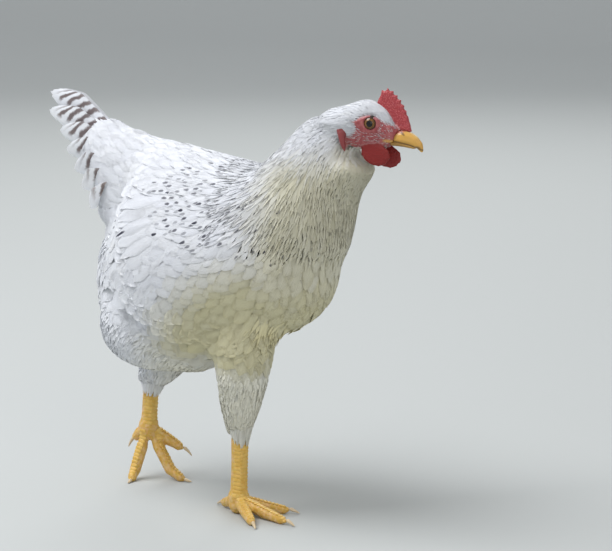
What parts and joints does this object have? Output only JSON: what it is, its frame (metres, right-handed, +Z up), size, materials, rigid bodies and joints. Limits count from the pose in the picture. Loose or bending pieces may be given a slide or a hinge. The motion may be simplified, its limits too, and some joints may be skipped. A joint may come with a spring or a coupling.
{
  "type": "life-size chicken model",
  "caption": "Still, life-size white hen with dark-flecked hackle and barred tail, red comb and wattles and yellow legs, walking, standing on both feet",
  "frame": {"origin": "on the floor, under the middle of the bird's box", "axes": "+X the way the bird faces, +Y its left, +Z up"},
  "size_m": [0.3792, 0.1528, 0.3614],
  "materials": {
    "plumage": "soft matt white feathers, dark flecks on the hackle and bars on the tail",
    "face": "bare wrinkled red skin",
    "comb": "grainy red flesh with a slight sheen",
    "horn": "smooth yellow horn",
    "eye": "wet amber iris with a black pupil",
    "leg_skin": "yellow scaled skin",
    "claw": "pale horn"
  },
  "bodies": {
    "root": {"beak_upper": "horn", "beak_lower": "horn", "comb": "comb", "eye_right": "eye", "eye_left": "eye", "wattle_right": "comb", "wattle_left": "comb", "earlobe_right": "face", "earlobe_left": "face", "head": "plumage", "neck": "plumage", "trunk": "plumage", "tail": "plumage", "wing_right": "plumage", "thigh_right": "plumage", "shank_right": "leg_skin", "foot_right": "leg_skin", "claw_inner_right": "claw", "claw_middle_right": "claw", "claw_outer_right": "claw", "claw_back_right": "claw", "wing_left": "plumage", "thigh_left": "plumage", "shank_left": "leg_skin", "foot_left": "leg_skin", "claw_inner_left": "claw", "claw_middle_left": "claw", "claw_outer_left": "claw", "claw_back_left": "claw"}
  },
  "joints": []
}
